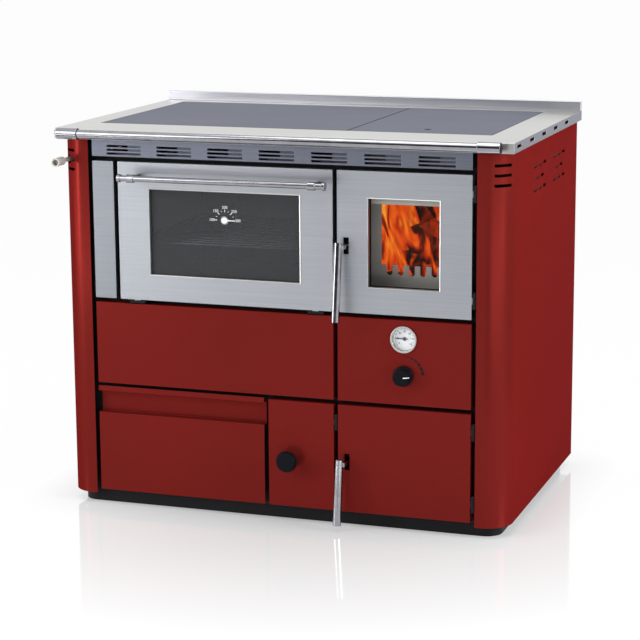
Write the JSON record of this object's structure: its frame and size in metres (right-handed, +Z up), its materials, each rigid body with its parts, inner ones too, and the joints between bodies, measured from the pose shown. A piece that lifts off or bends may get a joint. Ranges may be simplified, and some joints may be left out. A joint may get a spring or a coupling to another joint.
{
  "type": "boiler stove",
  "caption": "Free-standing wood-fired boiler cooker with hob, glazed fire door, drop-down oven door, ash door, log drawer and enamelled sides with rounded corners.",
  "frame": {"origin": "on the floor under the middle of the cabinet, on the plinth's middle rib", "axes": "+X to the right seen from the front, +Y to the back, +Z up"},
  "size_m": [1.038, 0.7643, 0.872],
  "materials": {
    "red_enamel": "gloss enamel",
    "stainless": "brushed",
    "polished_steel": "polished",
    "hob_iron": "ground satin",
    "black_steel": "matt black",
    "plate_steel": "mill finish",
    "galvanised": "zinc",
    "oven_enamel": "gloss enamel",
    "door_glass": "clear",
    "dial_white": "satin",
    "black_plastic": "satin",
    "firebrick": "rough",
    "cast_grate": "rough",
    "rope_seal": "woven",
    "mineral_wool": "soft"
  },
  "bodies": {
    "cabinet": {"plinth": "black_steel", "base_tray": "galvanised", "left_side_panel": "red_enamel", "right_side_panel": "red_enamel", "back_panel": "galvanised", "face_frame": "black_steel", "vent_grille": "stainless", "grille_shield": "stainless", "hob_frame": "stainless", "splashback": "stainless", "front_rail": "polished_steel", "rail_fittings": "polished_steel", "filler_panel": "stainless", "middle_panel": "red_enamel", "control_panel": "red_enamel", "hinge_pins": "polished_steel", "gauge_case": "polished_steel", "gauge_dial": "dial_white", "gauge_glass": "door_glass", "oven_liner": "oven_enamel", "oven_rack": "polished_steel", "boiler_jacket": "plate_steel", "jacket_cover": "plate_steel", "boiler_connections": "plate_steel", "fire_grate": "cast_grate", "firebricks": "firebrick", "log_guard": "plate_steel", "ash_pan": "galvanised", "smoke_chamber": "plate_steel", "flue_collar": "black_steel", "damper_guides": "galvanised", "insulation": "mineral_wool"},
    "oven_door": {"oven_door_skin": "stainless", "oven_door_glass": "door_glass", "oven_door_liner": "oven_enamel", "oven_door_seal": "rope_seal", "oven_handle": "polished_steel", "oven_thermometer": "polished_steel"},
    "oven_pointer": {"oven_thermometer_pointer": "dial_white"},
    "fire_door": {"fire_door_skin": "stainless", "fire_door_glass": "door_glass", "fire_door_liner": "black_steel", "fire_door_seal": "rope_seal"},
    "fire_lever": {"fire_lever": "polished_steel"},
    "ash_door": {"ash_door_skin": "red_enamel", "ash_door_liner": "black_steel", "ash_door_seal": "rope_seal"},
    "ash_lever": {"ash_lever": "polished_steel"},
    "small_door": {"small_door_skin": "red_enamel", "small_door_liner": "black_steel", "small_door_pull": "black_plastic"},
    "log_drawer": {"drawer_front": "red_enamel", "drawer_box": "galvanised"},
    "gauge_needle": {"gauge_needle": "black_plastic"},
    "regulator": {"regulator_knob": "black_plastic", "air_valve": "plate_steel"},
    "damper_pull": {"damper_pull": "polished_steel"},
    "damper_flap": {"damper_flap": "plate_steel"},
    "hob_plate_left": {"hob_plate_left": "hob_iron"},
    "hob_plate_right": {"hob_plate_right": "hob_iron"}
  },
  "joints": [
    {"name": "oven_door_hinge", "type": "hinge", "parent": "cabinet", "child": "oven_door", "pos_m": [-0.1225, -0.322, 0.471], "axis": [1, 0, 0], "range_deg": [0, 90]},
    {"name": "oven_pointer_turn", "type": "hinge", "parent": "oven_door", "child": "oven_pointer", "pos_m": [-0.1225, -0.321, 0.661], "axis": [0, 1, 0], "range_deg": [-180, 0], "stiffness_Nm_per_rad": 0.005},
    {"name": "fire_door_hinge", "type": "hinge", "parent": "cabinet", "child": "fire_door", "pos_m": [0.435, -0.322, 0.6285], "axis": [0, 0, 1], "range_deg": [0, 110]},
    {"name": "fire_lever_turn", "type": "hinge", "parent": "fire_door", "child": "fire_lever", "pos_m": [0.155, -0.316, 0.62], "axis": [-1, 0, 0], "range_deg": [0, 30]},
    {"name": "ash_door_hinge", "type": "hinge", "parent": "cabinet", "child": "ash_door", "pos_m": [0.435, -0.322, 0.153], "axis": [0, 0, 1], "range_deg": [0, 110]},
    {"name": "ash_lever_turn", "type": "hinge", "parent": "ash_door", "child": "ash_lever", "pos_m": [0.155, -0.316, 0.146], "axis": [-1, 0, 0], "range_deg": [0, 30]},
    {"name": "small_door_hinge", "type": "hinge", "parent": "cabinet", "child": "small_door", "pos_m": [0.13, -0.322, 0.153], "axis": [0, 0, 1], "range_deg": [0, 90]},
    {"name": "log_drawer_slide", "type": "slide", "parent": "cabinet", "child": "log_drawer", "axis": [0, -1, 0], "range_m": [0, 0.4]},
    {"name": "gauge_needle_turn", "type": "hinge", "parent": "cabinet", "child": "gauge_needle", "pos_m": [0.2825, -0.318, 0.425], "axis": [0, 1, 0], "range_deg": [-40, 220], "stiffness_Nm_per_rad": 0.005},
    {"name": "regulator_turn", "type": "hinge", "parent": "cabinet", "child": "regulator", "pos_m": [0.2825, -0.325, 0.346], "axis": [0, 1, 0], "range_deg": [-100, 0]},
    {"name": "damper_pull_slide", "type": "slide", "parent": "cabinet", "child": "damper_pull", "axis": [0, -1, 0], "range_m": [0, 0.0545]},
    {"name": "damper_flap_turn", "type": "hinge", "parent": "cabinet", "child": "damper_flap", "pos_m": [-0.3, 0.27, 0.735], "axis": [1, 0, 0], "range_deg": [0, 86]},
    {"name": "hob_left_lift", "type": "slide", "parent": "cabinet", "child": "hob_plate_left", "axis": [0, 0, 1], "range_m": [0, 0.1]},
    {"name": "hob_right_lift", "type": "slide", "parent": "cabinet", "child": "hob_plate_right", "axis": [0, 0, 1], "range_m": [0, 0.1]}
  ],
  "couplings": [
    {"joint": "damper_flap_turn", "follows": "damper_pull_slide", "rad_per_m": 27.5}
  ]
}
